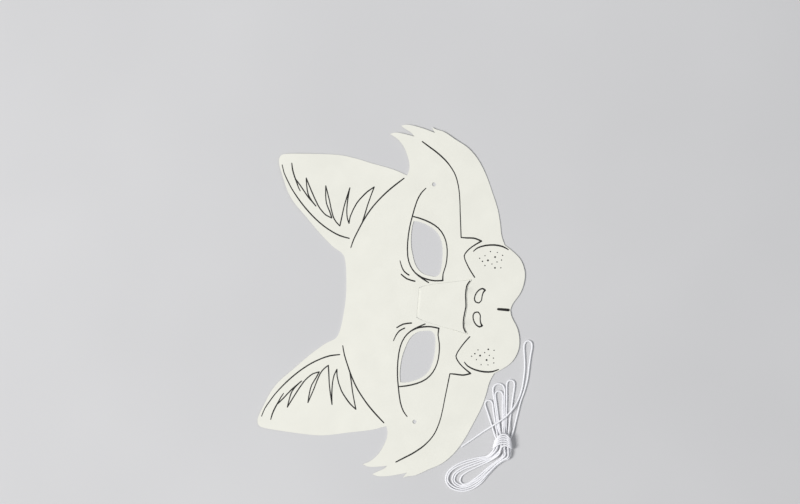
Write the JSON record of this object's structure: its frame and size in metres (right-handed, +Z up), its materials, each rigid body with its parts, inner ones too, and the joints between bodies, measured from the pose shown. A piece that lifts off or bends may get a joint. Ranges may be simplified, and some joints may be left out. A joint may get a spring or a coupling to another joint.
{
  "type": "paper fox mask with elastic",
  "caption": "Flat die-cut card mask of a fox's face with eye openings, nose flap and printed lines, with a tied hank of round elastic.",
  "frame": {"origin": "on the surface under the middle of the mask's width and height", "axes": "+X to the right of the printed face, +Y up its forehead to the ears, +Z up out of the printed side"},
  "size_m": [0.2471, 0.1833, 0.006],
  "materials": {
    "card": "uncoated white card",
    "ink": "black print, dull",
    "elastic": "white thread-covered elastic"
  },
  "bodies": {
    "root": {"mask_card": "card", "print_ear_rim_right": "ink", "print_ear_rim_left": "ink", "print_ear_fur_right": "ink", "print_ear_fur_left": "ink", "print_eye_right": "ink", "print_eye_left": "ink", "print_brow_long_right": "ink", "print_brow_long_left": "ink", "print_brow_short_right": "ink", "print_brow_short_left": "ink", "print_cheek_right": "ink", "print_cheek_left": "ink", "print_muzzle_right": "ink", "print_muzzle_left": "ink", "print_nostril_right": "ink", "print_nostril_left": "ink", "print_nose": "ink", "print_mouth": "ink", "elastic_hank": "elastic", "elastic_loose_end": "elastic"}
  },
  "joints": []
}
